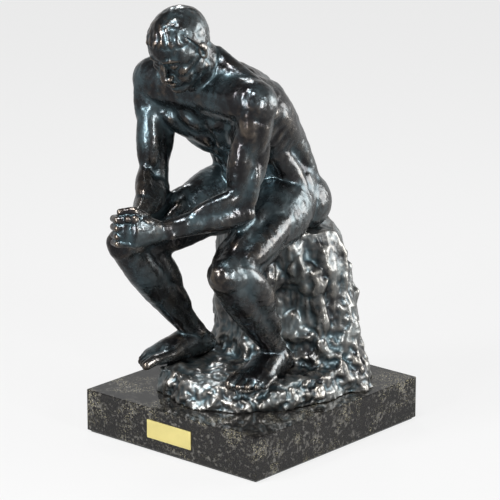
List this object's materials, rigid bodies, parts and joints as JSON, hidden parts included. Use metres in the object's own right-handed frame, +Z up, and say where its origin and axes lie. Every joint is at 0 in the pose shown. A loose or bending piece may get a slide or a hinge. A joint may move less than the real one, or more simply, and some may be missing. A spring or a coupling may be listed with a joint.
{
  "type": "seated figure statue",
  "caption": "Tabletop bronze of a seated figure deep in thought on a rough rock, hands clasped and head bowed, on a polished dark stone base with a bare brass plate.",
  "frame": {"origin": "middle of the underside of the felt, on the surface that the base stands on", "axes": "+Z up; -Y the way the figure faces and the side with the plate; +X the figure's left"},
  "size_m": [0.23, 0.3216, 0.4586],
  "materials": {
    "bronze_patina": "dark brown and blue-green patina, waxed to a gloss",
    "bare_bronze": "machined",
    "steel": "zinc plated",
    "stone": "polished dark stone with fine pale specks",
    "felt": "felt",
    "plate_brass": "satin, bare",
    "adhesive": "clear film"
  },
  "bodies": {
    "root": {"rock_casting": "bronze_patina", "torso_casting": "bronze_patina", "head_casting": "bronze_patina", "left_arm_casting": "bronze_patina", "right_arm_casting": "bronze_patina", "clasped_hands_casting": "bronze_patina", "left_leg_casting": "bronze_patina", "right_leg_casting": "bronze_patina", "neck_sleeve": "bare_bronze", "left_shoulder_sleeve": "bare_bronze", "right_shoulder_sleeve": "bare_bronze", "left_hip_sleeve": "bare_bronze", "right_hip_sleeve": "bare_bronze", "left_wrist_dowel": "bare_bronze", "right_wrist_dowel": "bare_bronze", "joint_pins": "bare_bronze", "seat_bolts": "steel", "foot_bolts": "steel", "mounting_bars": "steel", "mounting_studs": "steel", "mounting_washers": "steel", "mounting_nuts": "steel", "stone_base": "stone", "base_felt": "felt", "name_plate": "plate_brass", "plate_adhesive": "adhesive"}
  },
  "joints": []
}
